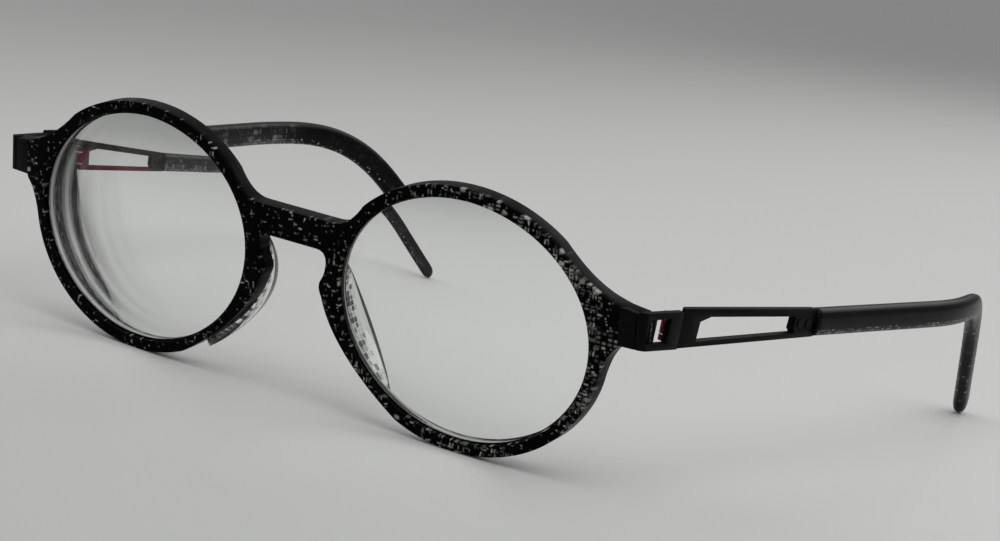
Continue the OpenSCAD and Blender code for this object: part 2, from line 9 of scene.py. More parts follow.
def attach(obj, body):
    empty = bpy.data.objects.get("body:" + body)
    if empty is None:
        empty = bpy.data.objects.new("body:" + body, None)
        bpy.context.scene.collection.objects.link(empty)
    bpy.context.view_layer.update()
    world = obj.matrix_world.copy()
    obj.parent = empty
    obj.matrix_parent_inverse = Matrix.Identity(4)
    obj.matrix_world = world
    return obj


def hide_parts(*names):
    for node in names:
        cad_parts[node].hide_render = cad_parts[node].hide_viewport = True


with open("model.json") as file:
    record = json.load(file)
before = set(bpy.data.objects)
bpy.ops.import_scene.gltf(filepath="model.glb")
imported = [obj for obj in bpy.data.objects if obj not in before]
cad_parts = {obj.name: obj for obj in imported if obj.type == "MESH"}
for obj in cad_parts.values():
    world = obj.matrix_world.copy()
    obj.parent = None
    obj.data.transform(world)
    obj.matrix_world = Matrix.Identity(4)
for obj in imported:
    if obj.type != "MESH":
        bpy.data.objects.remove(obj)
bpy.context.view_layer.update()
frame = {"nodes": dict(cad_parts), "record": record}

SIDES = {"left": 1, "right": -1}

# Sizes of the glasses in millimetres, in the upright frame: origin at the middle of the
# bridge, x to the wearer's left, y back from the face of the front, z up.
OPENING_W = 46.4
OPENING_H = 40.2
OPENING_DROP = 2.0
BRIDGE_GAP = 19.4
FOOT_FULLNESS = 0.023
OUTWARD_LEAN = 0.018
FRONT_CURVE_R = 700.0
FRONT_T = 3.2
RIM_W = 2.0
LENS_X = (BRIDGE_GAP + OPENING_W) / 2
BRIDGE_TOP = 8.3
BRIDGE_ARCH = 3.2
ARCH_HALF_W = 6.9
ARCH_ROUND = 2.0
WAIST = Vector((5.7, -2.6))
WAIST_ROUND = 0.6
BRIDGE_TOP_RUN = 6.0
FOOT_LEAN_OUT = 3.2
FOOT_LEAN_SHARE = 0.6
TOP_RUN = 12.4
BROW_RISE = 0.9
FOOT_RUN = 4.4
END_FALL = 0.193
OPENING_STEPS = 150
ENDPIECE_TOP = 6.8
ENDPIECE_FOOT = 0.6
FLANGE_T = 1.0
HINGE = Vector((64.2358, 12.6835, 1.93407))
SPLAY = math.radians(8.6)
PITCH = math.radians(10.6)
AXIS_IN = 2.2
FLANGE_W = 4.2
SIDE_LEN = 9.6
SIDE_T = 1.1
TONGUE_W = 1.0
TONGUE_H = 4.5
TONGUE_ROOT = 1.4
TONGUE_GAP = 3.6
KNUCKLE_R = 1.45
FIT = 0.02

# How the upright front stands on the table
REST_TIP = math.radians(10.916)
REST_MOVE = Vector((0.0, -76.206, 23.9714))
MM = 0.001


def resting():
    """The matrix from upright millimetres to the resting frame in metres."""
    return (
        Matrix.Scale(MM, 4)
        @ Matrix.Translation(REST_MOVE)
        @ Matrix.Rotation(REST_TIP, 4, "X")
    )


def temple():
    """The matrix from a left temple's own millimetres to the upright frame."""
    return (
        Matrix.Translation(HINGE)
        @ Matrix.Rotation(-SPLAY, 4, "Z")
        @ Matrix.Rotation(-PITCH, 4, "X")
    )


def mirrored(side):
    return Matrix.Scale(SIDES[side], 4, Vector((1, 0, 0)))


# ---------------------------------------------------------------- materials


# Places of a Mix node's sockets for colours
MIX_SHARE = 0
MIX_FIRST = 6
MIX_SECOND = 7
MIX_RESULT = 2


class Value:
    """A number or vector in a material, which can be used in sums."""

    def __init__(self, finish, socket):
        self.finish = finish
        self.socket = socket

    def _do(self, operation, *values):
        return self.finish.node("ShaderNodeMath", {"operation": operation}, dict(enumerate(values)))

    def __add__(self, other):
        return self._do("ADD", self, other)

    __radd__ = __add__

    def __sub__(self, other):
        return self._do("SUBTRACT", self, other)

    def __rsub__(self, other):
        return self._do("SUBTRACT", other, self)

    def __mul__(self, other):
        return self._do("MULTIPLY", self, other)

    __rmul__ = __mul__

    def __truediv__(self, other):
        return self._do("DIVIDE", self, other)

    def __lt__(self, other):
        return self._do("LESS_THAN", self, other)

    def __abs__(self):
        return self._do("ABSOLUTE", self)

    def whole(self):
        return self._do("FLOOR", self)

    def part(self):
        return self._do("FRACT", self)

    def most(self, other):
        return self._do("MAXIMUM", self, other)

    def within(self, low, high):
        """Runs from 0 to 1 as the value goes from low to high."""
        return self.finish.node(
            "ShaderNodeMapRange",
            {"interpolation_type": "SMOOTHSTEP"},
            {"Value": self, "From Min": low, "From Max": high},
        )


class Finish:
    """One procedural material."""

    def __init__(self, name):
        self.material = bpy.data.materials.new(name)
        self.material.use_nodes = True
        self.tree = self.material.node_tree
        self.tree.nodes.clear()

    def node(self, kind, settings=None, sockets=None, output=0):
        made = self.tree.nodes.new(kind)
        for name, value in (settings or {}).items():
            setattr(made, name, value)
        for name, value in (sockets or {}).items():
            self.feed(made.inputs[name], value)
        return Value(self, made.outputs[output])

    def feed(self, socket, value):
        """Links a value to a socket, or sets the socket to a number or a colour."""
        if isinstance(value, Value):
            self.tree.links.new(value.socket, socket)
        elif socket.type == "RGBA":
            socket.default_value = (*value, 1.0)
        else:
            socket.default_value = value

    def place(self, matrix=None, here=None):
        """Object coordinates or a given place, taken back through a matrix."""
        here = here or self.node("ShaderNodeTexCoord", output="Object")
        if matrix is None:
            return here
        move, turn, size = matrix.decompose()
        return self.node(
            "ShaderNodeMapping",
            {"vector_type": "TEXTURE"},
            {"Vector": here, "Location": move, "Rotation": turn.to_euler("XYZ"), "Scale": size},
        )

    def split(self, vector):
        parts = self.node("ShaderNodeSeparateXYZ", sockets={"Vector": vector})
        outputs = parts.socket.node.outputs
        return [Value(self, outputs[k]) for k in range(3)]

    def join(self, x, y, z):
        return self.node("ShaderNodeCombineXYZ", sockets={"X": x, "Y": y, "Z": z})

    def cloud(self, vector, scale, detail=3.0):
        return self.node(
            "ShaderNodeTexNoise", sockets={"Vector": vector, "Scale": scale, "Detail": detail}
        )

    def chance(self, vector):
        return self.node("ShaderNodeTexWhiteNoise", sockets={"Vector": vector})

    def mix(self, share, first, second):
        """A colour between two colours. The node has sockets for other kinds too."""
        return self.node(
            "ShaderNodeMix",
            {"data_type": "RGBA"},
            {MIX_SHARE: share, MIX_FIRST: first, MIX_SECOND: second},
            MIX_RESULT,
        )

    def blend(self, share, first, second):
        """A surface between two surfaces."""
        return self.node("ShaderNodeMixShader", sockets={0: share, 1: first, 2: second})

    def grain(self, height, distance, strength):
        return self.node(
            "ShaderNodeBump", sockets={"Height": height, "Distance": distance, "Strength": strength}
        )

    def surface(self, **sockets):
        named = {}
        for name, value in sockets.items():
            named[name.replace("_", " ").title().replace("Ior", "IOR")] = value
        return self.node("ShaderNodeBsdfPrincipled", sockets=named)

    def face_depth(self, x, y):
        """How far behind the curved face of the front a place is."""
        return y - x * x / (2 * FRONT_CURVE_R)

    def done(self, surface):
        out = self.tree.nodes.new("ShaderNodeOutputMaterial")
        self.tree.links.new(surface.socket, out.inputs["Surface"])
        return self.material


BAR_BLUR_U = 0.16
BAR_BLUR_V = 0.18
BAR_DIMMEST = 0.15
BAR_TINT_SEED = 3.5


def bars(finish, u, v, cell, fill, share, seed):
    """Short bars in rows and columns: how bright the bar is at (u, v), 0 between bars.

    A cell's size is in millimetres, a bar fills a part of its cell, and a share of the
    cells has a bar.
    """
    a = u / cell[0]
    b = v / cell[1]
    pick = finish.chance(finish.join(a.whole(), b.whole(), seed))
    tint = finish.chance(finish.join(b.whole(), a.whole(), seed + BAR_TINT_SEED))
    in_u = 1 - abs(a.part() - 0.5).within(fill[0] / 2 - BAR_BLUR_U, fill[0] / 2 + BAR_BLUR_U)
    in_v = 1 - abs(b.part() - 0.5).within(fill[1] / 2 - BAR_BLUR_V, fill[1] / 2 + BAR_BLUR_V)
    return (pick < share) * in_u * in_v * (tint * tint * (1 - BAR_DIMMEST) + BAR_DIMMEST)


# The bars of the weave: a cell's size in millimetres and how much of it a bar fills
FLAT_BAR = ((1.05, 0.56), (0.66, 0.5))
TALL_BAR = ((0.52, 1.15), (0.5, 0.62))
BLOCK_BAR = ((1.3, 1.0), (0.7, 0.62))
BLOCK_GAIN = 1.3
WOBBLE_U = 0.7
WOBBLE_V = 0.5
PATCH_SCALE = 0.17
OTHER_SCALE = 0.2


def woven(finish, u, v, seed, amount):
    """A loose weave of light bars, denser in some patches than in others."""
    around = finish.join(u, v, seed)
    wobble = finish.cloud(around, 0.8) - 0.5
    u = u + wobble * WOBBLE_U
    v = v + wobble * WOBBLE_V
    patch = finish.cloud(around, PATCH_SCALE, 2.0).within(0.42, 0.62)
    other = finish.cloud(finish.join(v, u, seed + 9), OTHER_SCALE, 2.0).within(0.42, 0.64)
    flat = bars(finish, u, v, *FLAT_BAR, (patch * 0.55 + 0.03) * amount, seed + 1)
    tall = bars(finish, u, v, *TALL_BAR, (other * 0.6 + 0.04) * amount, seed + 2)
    block = bars(finish, u, v, *BLOCK_BAR, (patch * 0.1 + 0.012) * amount, seed + 5)
    return flat.most(tall).most(block * BLOCK_GAIN)


# Where the front's pattern is dense, in the upright frame's millimetres. The photographed
# front is denser on the wearer's left, so the right side has only the even share.
TEMPLE_SIDE_SHARE = 0.8
BROW_SHARE = 0.5
SOLE_SHARE = 0.45
EVEN_SHARE = 0.2
PATTERN_END = (57.0, 58.0)
DOT_GAIN = 0.8
GRID_GAIN = 0.6

DEEP_BLACK = (0.0005, 0.0006, 0.0004)
HAZY_BLACK = (0.002, 0.0023, 0.0016)
LIGHT_BAR = (0.3, 0.315, 0.29)
DARK_SMOKE = (0.0007, 0.0008, 0.0006)
PALE_SMOKE = (0.008, 0.0085, 0.007)
SMOKE_BAR = (0.05, 0.052, 0.048)
TONGUE_BAR = (0.22, 0.23, 0.22)


def front_face(f, x, z):
    """How bright the pattern on the face of the front is."""
    temple_side = x.within(30.0, 44.0) * (1 - z.within(8.0, 14.0)) * z.within(-20.0, -12.0)
    brow = x.within(12.0, 30.0) * z.within(6.0, 12.0)
    sole = x.within(8.0, 20.0) * (1 - z.within(-18.0, -12.0))
    amount = temple_side * TEMPLE_SIDE_SHARE + brow * BROW_SHARE + sole * SOLE_SHARE + EVEN_SHARE
    amount = amount * (1 - x.within(*PATTERN_END))
    slanted_u = x + z * 0.3
    slanted_v = z - x * 0.2
    dots = bars(f, slanted_u, slanted_v, (0.6, 0.5), (0.5, 0.55), 0.1 + amount * 0.1, 31.0)
    beside = x.within(56.8, 57.2) * (1 - x.within(60.8, 61.2))
    beside = beside * z.within(-14.0, -12.0) * (1 - z.within(2.5, 3.5))
    columns = bars(f, x, z, (1.0, 0.78), (0.6, 0.5), beside * 0.75, 71.0)
    blocks = bars(f, x - 0.3, z, (1.5, 1.6), (0.75, 0.6), beside * 0.3, 73.0)
    corner = x.within(61.3, 61.4) * (1 - x.within(62.9, 63.0))
    corner = corner * z.within(1.6, 1.7) * (1 - z.within(3.6, 3.7))
    grid = bars(f, x, z, (0.8, 1.0), (0.8, 0.8), corner * 2, 77.0)
    weave = woven(f, x, z, 4.0, amount)
    return weave.most(columns).most(blocks).most(grid * GRID_GAIN).most(dots * DOT_GAIN)


def front_acetate():
    """Black face with light bars over a smoky back layer, and dashes on the tongues."""
    f = Finish("patterned_acetate")
    x, y, z = f.split(f.place(resting()))
    depth = f.face_depth(x, y)
    behind = depth.within(0.5, 1.0)
    haze = f.cloud(f.join(x, z, depth), 0.5)
    black = f.mix(haze.within(0.45, 0.75), DEEP_BLACK, HAZY_BLACK)
    black = f.mix(front_face(f, x, z), black, LIGHT_BAR)
    streak = f.cloud(f.join(x * 0.5, z * 0.5, depth * 4), 1.2, 4.0)
    smoke = f.mix(streak.within(0.4, 0.75), DARK_SMOKE, PALE_SMOKE)
    smoke = f.mix(bars(f, x, z, (1.3, 1.1), (0.7, 0.5), 0.15, 41.0), smoke, SMOKE_BAR)
    tongue = depth.within(FRONT_T + 0.05, FRONT_T + 0.1)
    specks = bars(f, z, y, (0.9, 1.4), (0.75, 0.3), 0.02 + tongue * 0.75, 11.0)
    smoke = f.mix(specks, smoke, TONGUE_BAR)
    return f.done(
        f.surface(
            base_color=f.mix(behind, black, smoke),
            roughness=0.16 + behind * 0.12,
            normal=f.grain(f.cloud(f.join(x, y, z), 0.5, 2.0), 0.0002, 0.12),
            specular_ior_level=0.02,
        )
    )


SLEEVE_BLACK = (0.0016, 0.002, 0.0019)
SLEEVE_GREY = (0.024, 0.028, 0.026)
INNER_BLACK = (0.006, 0.0066, 0.0063)
INNER_GREY = (0.2, 0.207, 0.203)
SLEEVE_FLECK = (0.42, 0.44, 0.42)


def sleeve_acetate():
    """Dark smoky acetate: grey patches on its sides, light flecks along its lower edge.

    The attribute gives a place on the sleeve as if it were straight: across, along and up.
    """
    f = Finish("sleeve_acetate")
    straight = f.node("ShaderNodeAttribute", {"attribute_name": "straight"}, output="Vector")
    x, s, z = f.split(straight)
    inner = 1 - x.within(-1.3, -0.7)
    haze = f.cloud(f.join(s * 0.3, z * 0.6, x * 0.3), 0.5)
    streaks = f.cloud(f.join(s * 1.2, z * 2.4, x), 1.1, 4.0)
    patches = bars(f, s, z + x, (2.1, 1.5), (0.9, 0.8), 0.4, 51.0) * haze.within(0.35, 0.6)
    ticks = bars(f, s, z, (0.55, 1.4), (0.6, 0.8), haze.within(0.4, 0.7) * 0.6, 61.0)
    grey = patches * 0.8 + streaks.within(0.4, 0.8) * 0.3 + ticks * inner * 0.7
    grey = grey.within(0.0, 1.3)
    dark = f.mix(grey, SLEEVE_BLACK, SLEEVE_GREY)
    pale = f.mix(grey, INNER_BLACK, INNER_GREY)
    low = 1 - z.within(-1.5, -0.9)
    near_end = 1 - s.within(16.0, 30.0)
    by_bend = s.within(30.0, 40.0) * (1 - s.within(52.0, 60.0))
    row_share = low * (near_end + by_bend * 1.5 + 0.2) * 0.8
    row = bars(f, s, z, (0.7, 0.5), (0.6, 0.6), row_share, 21.0)
    ground = f.mix(inner * (1 - s.within(48.0, 60.0)), dark, pale)
    return f.done(
        f.surface(
            base_color=f.mix(row, ground, SLEEVE_FLECK),
            roughness=0.26 + haze * 0.1,
            specular_ior_level=0.07,
        )
    )


def dark_metal(name, colour, speckle, roughness):
    """Satin lacquer on metal, with a faint speckle."""
    f = Finish(name)
    here = f.place(Matrix.Scale(MM, 4))
    fine = f.cloud(here, 3.0)
    wide = f.cloud(here, 0.35)
    speckled = fine.within(0.45, 0.75) * wide.within(0.3, 0.7)
    return f.done(
        f.surface(
            base_color=f.mix(speckled, colour, speckle),
            roughness=roughness + wide * 0.12,
            specular_ior_level=0.06,
            normal=f.grain(f.cloud(here, 14.0, 2.0), 0.00003, 0.35),
        )
    )


# Where the burgundy ends, in the temple's own millimetres
DARK_TOP = (1.3, 2.2)
DARK_TOP_FALL = 0.03
DARK_REAR = (31.5, 32.5)


def burgundy_metal():
    """Burgundy lacquer on the inside of the metal, brown-black along its top and at its rear."""
    f = Finish("burgundy_metal")
    x, y, z = f.split(f.place(resting()))
    local = f.place(temple(), f.join(abs(x), y, z))
    x, y, z = f.split(local)
    dark = (z + y * DARK_TOP_FALL).within(*DARK_TOP).most(y.within(*DARK_REAR))
    fine = f.cloud(local, 2.5)
    shade = fine.within(0.4, 0.7)
    red = f.mix(shade, (0.11, 0.003, 0.014), (0.055, 0.002, 0.009))
    brown = f.mix(shade, (0.009, 0.0035, 0.003), (0.004, 0.002, 0.0018))
    return f.done(
        f.surface(
            base_color=f.mix(dark, red, brown),
            roughness=0.38 + fine * 0.1,
            specular_ior_level=0.1,
        )
    )


CLEAR_SHADOW = (0.93, 0.94, 0.93)
CLEAR_PAINTED_SHADE = (0.02, 0.021, 0.02)
PAD_REFLECTION_GAIN = 3
PAD_REFLECTION_END = (FRONT_T + 1.0, FRONT_T + 2.6)


def pad_painted_reflection(f):
    """Painted reflection: the dark pattern of the front, painted into a nose pad's colour where
    they are joined, in place of its refraction.
    """
    x, y, z = f.split(f.place(resting()))
    depth = f.face_depth(x, y)
    marks = bars(f, z, depth, (0.9, 0.7), (0.9, 0.85), 0.8, 81.0)
    return marks * PAD_REFLECTION_GAIN * (1 - depth.within(*PAD_REFLECTION_END))


def clear(name, tint, ior, shine=1.0, edge=0.0, painted_reflection=None):
    """A clear solid that lets light through.

    Shine is the share of the gloss that it keeps, edge how strong the painted dark shade is
    where it is seen edge on, and the last argument paints dark reflections of the front in it.
    """
    f = Finish(name)
    here = f.place(Matrix.Scale(MM, 4))
    # the colour takes painted dark reflections of the front when a function for them is given
    body = f.surface(
        base_color=f.mix(painted_reflection(f), tint, CLEAR_PAINTED_SHADE) if painted_reflection else tint,
        transmission_weight=1.0,
        roughness=f.cloud(here, 0.2, 1.0) * 0.01,
        ior=ior,
        specular_tint=(shine, shine, shine),
    )
    # painted shade: a dark surface mixed in where the solid is seen edge on
    if edge:
        dark = f.surface(base_color=CLEAR_PAINTED_SHADE, roughness=0.2)
        facing = f.node("ShaderNodeLayerWeight", sockets={"Blend": 0.5}, output="Facing")
        body = f.blend(facing.within(0.85, 1.0) * edge, body, dark)
    shadow = f.node("ShaderNodeLightPath", output="Is Shadow Ray")
    through = f.node("ShaderNodeBsdfTransparent", sockets={"Color": CLEAR_SHADOW})
    return f.done(f.blend(shadow, body, through))


def crystal_edge_shade():
    """Painted shade: the thin dark line that the edge of a clear pad shows, as a dark surface."""
    f = Finish("crystal_edge_shade")
    shade = f.cloud(f.place(Matrix.Scale(MM, 4)), 1.0, 2.0)
    colour = f.mix(shade, (0.004, 0.0045, 0.004), (0.015, 0.0155, 0.015))
    return f.done(f.surface(base_color=colour, roughness=0.3))


# How far behind the face of the front the bands of painted light and shade on a lens's edge change
EDGE_SHADE_TO_GREY = (1.5, 1.8)
EDGE_PAINTED_LIGHT = (2.3, 2.6)
EDGE_LIGHT_TO_GREY = (3.5, 3.8)
EDGE_PAINTED_SHADE = (4.3, 4.7)


def ground_edge():
    """The ground edge of a lens, with painted light and shade: a bright band of painted light with
    grey and dark bands of painted shade on both sides of it.
    """
    f = Finish("lens_edge")
    x, y, z = f.split(f.place(resting()))
    depth = f.face_depth(x, y)
    lines = f.cloud(f.join(x * 0.12, depth * 5, z * 0.12), 1.2)
    flecks = f.cloud(f.join(x * 0.8, depth * 3, z * 0.8), 1.0)
    line = lines.within(0.35, 0.65)
    bright = f.mix(line, (0.32, 0.33, 0.31), (0.52, 0.53, 0.51))
    grey = f.mix(line, (0.1, 0.105, 0.1), (0.3, 0.305, 0.3))
    dark = f.mix(flecks.within(0.45, 0.7), (0.012, 0.013, 0.012), (0.15, 0.155, 0.15))
    # painted shade at the front and back of the edge, painted light in its middle
    colour = f.mix(depth.within(*EDGE_SHADE_TO_GREY), dark, grey)
    colour = f.mix(depth.within(*EDGE_PAINTED_LIGHT), colour, bright)
    colour = f.mix(depth.within(*EDGE_LIGHT_TO_GREY), colour, grey)
    colour = f.mix(depth.within(*EDGE_PAINTED_SHADE), colour, dark)
    return f.done(
        f.surface(
            base_color=colour,
            roughness=0.55 + lines * 0.2,
            specular_ior_level=0.1,
        )
    )


def turned_steel(name, colour, roughness):
    """Bare steel with fine marks across its length."""
    f = Finish(name)
    x, y, z = f.split(f.place(Matrix.Scale(MM, 4)))
    marks = f.cloud(f.join(x, y, z * 9.0), 3.0, 2.0)
    return f.done(
        f.surface(
            base_color=f.mix(marks, tuple(c * 0.8 for c in colour), colour),
            roughness=roughness + marks * 0.15,
            metallic=1.0,
        )
    )


def nylon():
    f = Finish("washer_nylon")
    milk = f.cloud(f.place(Matrix.Scale(MM, 4)), 1.5, 2.0)
    colour = f.mix(milk, (0.7, 0.7, 0.66), (0.82, 0.82, 0.79))
    return f.done(f.surface(base_color=colour, roughness=0.4 + milk * 0.1))


LACQUER_BLACK = (0.0009, 0.0009, 0.0009)
LACQUER_SPECKLE = (0.011, 0.0085, 0.0065)
RIVET_BROWN = (0.006, 0.002, 0.002)
RIVET_SPECKLE = (0.012, 0.004, 0.004)
LENS_TINT = (0.985, 0.99, 0.985)
LENS_IOR = 1.6
PAD_TINT = (0.92, 0.93, 0.92)
PAD_IOR = 1.48
SCREW_COLOUR = (0.4, 0.4, 0.41)
WIRE_COLOUR = (0.62, 0.62, 0.62)


FINISHES = {
    "patterned_acetate": front_acetate(),
    "sleeve_acetate": sleeve_acetate(),
    "dark_metal": dark_metal("dark_metal", LACQUER_BLACK, LACQUER_SPECKLE, 0.4),
    "burgundy_metal": burgundy_metal(),
    "lens": clear("lens", LENS_TINT, LENS_IOR, shine=0.2),
    "lens_edge": ground_edge(),
    "crystal_acetate": clear("crystal_acetate", PAD_TINT, PAD_IOR, edge=0.95, painted_reflection=pad_painted_reflection),
    "crystal_edge_shade": crystal_edge_shade(),
    "screw_steel": turned_steel("screw_steel", SCREW_COLOUR, 0.3),
    "wire_steel": turned_steel("wire_steel", WIRE_COLOUR, 0.3),
    "rivet_metal": dark_metal("rivet_metal", RIVET_BROWN, RIVET_SPECKLE, 0.35),
    "washer_nylon": nylon(),
}

# ---------------------------------------------------------------- outlines


# Where the opening's edge is left for the bridge, the endpiece and the nasal waist, in
# degrees from the temple side, anticlockwise for the left rim seen from the front
BROW_ANGLE = 140
END_TOP_ANGLE = 48
END_FOOT_ANGLE = -10
NASAL_ANGLE = -115
OUTLINE_STEPS = {
    "bridge": 18,
    "over": 56,
    "end_top": 16,
    "end": 8,
    "end_foot": 10,
    "under": 60,
    "nasal": 48,
}
BRIDGE_BEND = 2.3
CURVE_STEPS = 12


def front_depth(x):
    """How far the curved face lies behind its middle at a distance from the bridge."""
    return FRONT_CURVE_R - math.sqrt(FRONT_CURVE_R**2 - x**2)


def edge_point(angle):
    """A point of the opening's edge, about the opening's centre."""
    a = math.radians(angle)
    fullness = 1 - FOOT_FULLNESS * math.sin(a) ** 3 - OUTWARD_LEAN * math.sin(2 * a)
    return Vector((OPENING_W / 2 * math.cos(a), OPENING_H / 2 * math.sin(a))) * fullness


def edge_outward(angle):
    """The direction square to the opening's edge, away from its centre."""
    along = edge_point(angle + 1) - edge_point(angle - 1)
    return Vector((along.y, -along.x)).normalized()


def rim_point(angle, outside):
    """A point at a distance outside the left opening's edge, in the upright frame."""
    return Vector((LENS_X, -OPENING_DROP)) + edge_point(angle) + edge_outward(angle) * outside


def lean(a, b, c):
    """A curve from a to c that leans towards b."""
    shares = [i / CURVE_STEPS for i in range(CURVE_STEPS + 1)]
    return [a * (1 - t) ** 2 + b * 2 * t * (1 - t) + c * t**2 for t in shares]


def spaced(points, count):
    """Points at even distances along a line of points: the first is kept, the last left out."""
    lengths = [0.0]
    for a, b in zip(points, points[1:]):
        lengths.append(lengths[-1] + (b - a).length)
    result = []
    for i in range(count):
        wanted = lengths[-1] * i / count
        k = max(j for j in range(len(lengths) - 1) if lengths[j] <= wanted + 1e-9)
        share = (wanted - lengths[k]) / (lengths[k + 1] - lengths[k])
        result.append(points[k].lerp(points[k + 1], share))
    return result


def end_x(depth, inward):
    """Where the endpiece ends, at a depth and a distance in from the side plate's outside."""
    local = AXIS_IN - inward - FIT
    return HINGE.x + local * math.cos(SPLAY) + (depth - HINGE.y) * math.sin(SPLAY)


def half_outline():
    """The left half of the front's outline, from the bridge's top round to the arch under it."""

    def rim(first, last, count):
        """Points along the rim's outside: the first angle is kept, the last left out."""
        return [rim_point(first + (last - first) * i / count, RIM_W) for i in range(count)]

    x_end = end_x(FRONT_T, FLANGE_W)
    brow = rim_point(BROW_ANGLE, RIM_W)
    foot = rim_point(NASAL_ANGLE, RIM_W)
    above = rim_point(END_TOP_ANGLE, RIM_W)
    below = rim_point(END_FOOT_ANGLE, RIM_W)
    top = Vector((0, BRIDGE_TOP))
    arch = Vector((0, BRIDGE_ARCH))
    waist_nose = Vector((WAIST_ROUND / 2, WAIST_ROUND))
    under_waist = WAIST + Vector((WAIST_ROUND, -ARCH_ROUND))
    over_waist = WAIST + waist_nose
    arch_side = Vector((ARCH_HALF_W, BRIDGE_ARCH - ARCH_ROUND))
    arch_end = Vector((ARCH_HALF_W - ARCH_ROUND, BRIDGE_ARCH))
    bridge = lean(
        Vector((brow.x - BRIDGE_TOP_RUN, BRIDGE_TOP)),
        Vector((brow.x - BRIDGE_TOP_RUN / BRIDGE_BEND, BRIDGE_TOP)),
        brow,
    )
    to_end = lean(
        above,
        Vector((above.x + TOP_RUN / 2, ENDPIECE_TOP + BROW_RISE)),
        Vector((above.x + TOP_RUN, ENDPIECE_TOP)),
    )
    to_end = [p for p in to_end if p.x < x_end] + [Vector((x_end, ENDPIECE_TOP))]
    from_end = lean(
        Vector((below.x + FOOT_RUN, ENDPIECE_FOOT)),
        Vector((below.x + FOOT_RUN / 3, ENDPIECE_FOOT)),
        below,
    )
    from_end = [Vector((x_end, ENDPIECE_FOOT))] + [p for p in from_end if p.x < x_end]
    nasal = (
        lean(foot, Vector((WAIST.x + FOOT_LEAN_OUT, foot.y * FOOT_LEAN_SHARE)), under_waist)
        + lean(under_waist, WAIST - waist_nose, over_waist)[1:]
        + lean(over_waist, Vector((ARCH_HALF_W, BRIDGE_ARCH - 2 * ARCH_ROUND)), arch_side)[1:]
        + lean(arch_side, Vector((ARCH_HALF_W, BRIDGE_ARCH)), arch_end)[1:]
    )
    steps = OUTLINE_STEPS
    return (
        spaced([top] + bridge, steps["bridge"])
        + rim(BROW_ANGLE, END_TOP_ANGLE, steps["over"])
        + spaced(to_end, steps["end_top"])
        + spaced([to_end[-1], from_end[0]], steps["end"])
        + spaced(from_end, steps["end_foot"])
        + rim(END_FOOT_ANGLE, NASAL_ANGLE, steps["under"])
        + spaced(nasal + [arch], steps["nasal"])
        + [arch]
    )


# ---------------------------------------------------------------- mesh helpers


def ring_of(bm, places):
    """A closed loop of vertices at the given places."""
    loop = bmesh.ops.create_circle(bm, segments=len(places), radius=1.0)["verts"]
    for vert, place in zip(loop, places):
        vert.co = place
    return loop


def edges_of(bm, loop):
    return [bm.edges.get((loop[i - 1], loop[i])) for i in range(len(loop))]


def new_verts(made):
    return [v for v in made if isinstance(v, bmesh.types.BMVert)]


def grow(bm, loop, places):
    """Extrudes a closed loop once and sets the places of the new loop."""
    made = bmesh.ops.extrude_edge_only(bm, edges=edges_of(bm, loop))["geom"]
    fresh = set(new_verts(made))
    new = [next(e.other_vert(v) for e in v.link_edges if e.other_vert(v) in fresh) for v in loop]
    for vert, place in zip(new, places):
        vert.co = place
    return new


def gather(bm, loop, place):
    """Closes a loop to a single point."""
    bmesh.ops.pointmerge(bm, verts=loop, merge_co=place)


def soften(bm, angle, width, segments):
    """Rounds the edges that are sharper than an angle in degrees."""
    limit = math.radians(angle)
    sharp = [e for e in bm.edges if len(e.link_faces) == 2 and e.calc_face_angle(0.0) > limit]
    bmesh.ops.bevel(
        bm,
        geom=sharp,
        offset=width,
        offset_type="OFFSET",
        segments=segments,
        profile=0.5,
        affect="EDGES",
        clamp_overlap=True,
        material=-1,
    )


def cover(bm, loop):
    """Closes a loop with one flat face."""
    bmesh.ops.edgeloop_fill(bm, edges=edges_of(bm, loop))


def piece(name, bm, finishes, body, nodes, smooth_angle=32.0):
    """Makes a finished object of a mesh in the resting frame, in place of CAD nodes."""
    bmesh.ops.recalc_face_normals(bm, faces=bm.faces)
    mesh = bpy.data.meshes.new(name)
    bm.to_mesh(mesh)
    bm.free()
    mesh.shade_smooth()
    mesh.set_sharp_from_angle(angle=math.radians(smooth_angle))
    for finish in finishes:
        mesh.materials.append(FINISHES[finish])
    made = bpy.data.objects.new(name, mesh)
    bpy.context.scene.collection.objects.link(made)
    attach(made, body)
    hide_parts(*nodes)


MERGE_DISTANCE = 1e-7  # metres, as the CAD nodes are
FLAT_ANGLE = math.radians(0.5)


def cad_copy(node):
    """A merged copy of a CAD node's mesh, with its flat faces joined."""
    bm = bmesh.new()
    bm.from_mesh(frame["nodes"][node].data)
    bmesh.ops.remove_doubles(bm, verts=bm.verts, dist=MERGE_DISTANCE)
    bmesh.ops.dissolve_limit(
        bm, angle_limit=FLAT_ANGLE, verts=bm.verts, edges=bm.edges, delimit={"NORMAL"}
    )
    return bm


# ---------------------------------------------------------------- pieces


FRONT_ROUND = 0.5
FRONT_ROUND_STEPS = 4
FRONT_ROUND_ANGLE = 50
CLOSE = 0.01  # how near two places or directions are taken as one


def flat_front():
    """The front as a flat plate with its openings, cut all round at the flanges' depth."""
    bm = bmesh.new()
    half = half_outline()
    whole = half + [Vector((-p.x, p.y)) for p in half[-2:0:-1]]
    ring_of(bm, [Vector((p.x, 0, p.y)) for p in whole])
    opening = [rim_point(360 * i / OPENING_STEPS, 0) for i in range(OPENING_STEPS)]
    for side in SIDES:
        ring_of(bm, [mirrored(side) @ Vector((p.x, 0, p.y)) for p in opening])
    bmesh.ops.triangle_fill(bm, use_beauty=True, edges=bm.edges[:])
    made = bmesh.ops.extrude_face_region(bm, geom=bm.faces[:], use_keep_orig=True)["geom"]
    bmesh.ops.translate(bm, verts=new_verts(made), vec=(0, FRONT_T, 0))
    bmesh.ops.recalc_face_normals(bm, faces=bm.faces)
    whole_mesh = bm.verts[:] + bm.edges[:] + bm.faces[:]
    bmesh.ops.bisect_plane(
        bm, geom=whole_mesh, plane_co=(0, FLANGE_T + FIT, 0), plane_no=(0, 1, 0)
    )
    return bm


